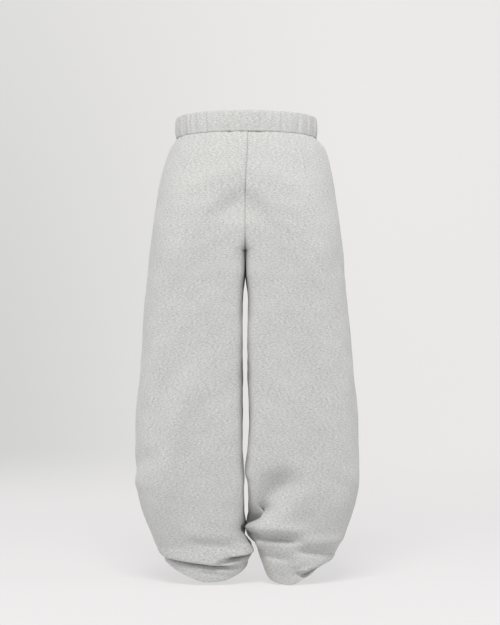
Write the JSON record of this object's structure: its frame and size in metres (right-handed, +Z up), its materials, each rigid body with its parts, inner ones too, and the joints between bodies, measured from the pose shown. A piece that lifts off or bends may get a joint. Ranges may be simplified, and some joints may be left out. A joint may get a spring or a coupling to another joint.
{
  "type": "barrel-leg sweatpants",
  "caption": "Full-length sweatpants in heavy marl fleece, in their worn form: elastic waistband, wide curved legs cut as front and back panels, plain turned hems that pool over the heel.",
  "frame": {"origin": "centre of the waistband, half way up it, where the wearer's waist carries the garment", "axes": "+Z up along the garment, -Y to its front, +Y to its back, +X to the wearer's left"},
  "size_m": [0.5379, 0.2551, 1.1202],
  "materials": {
    "marl_fleece": "soft brushed-back cotton fleece, light grey marl",
    "waistband_fleece": "the same fleece folded over an elastic and gathered"
  },
  "bodies": {
    "root": {"waistband": "waistband_fleece", "left_back_panel": "marl_fleece", "left_front_panel": "marl_fleece", "right_back_panel": "marl_fleece", "right_front_panel": "marl_fleece"}
  },
  "joints": []
}
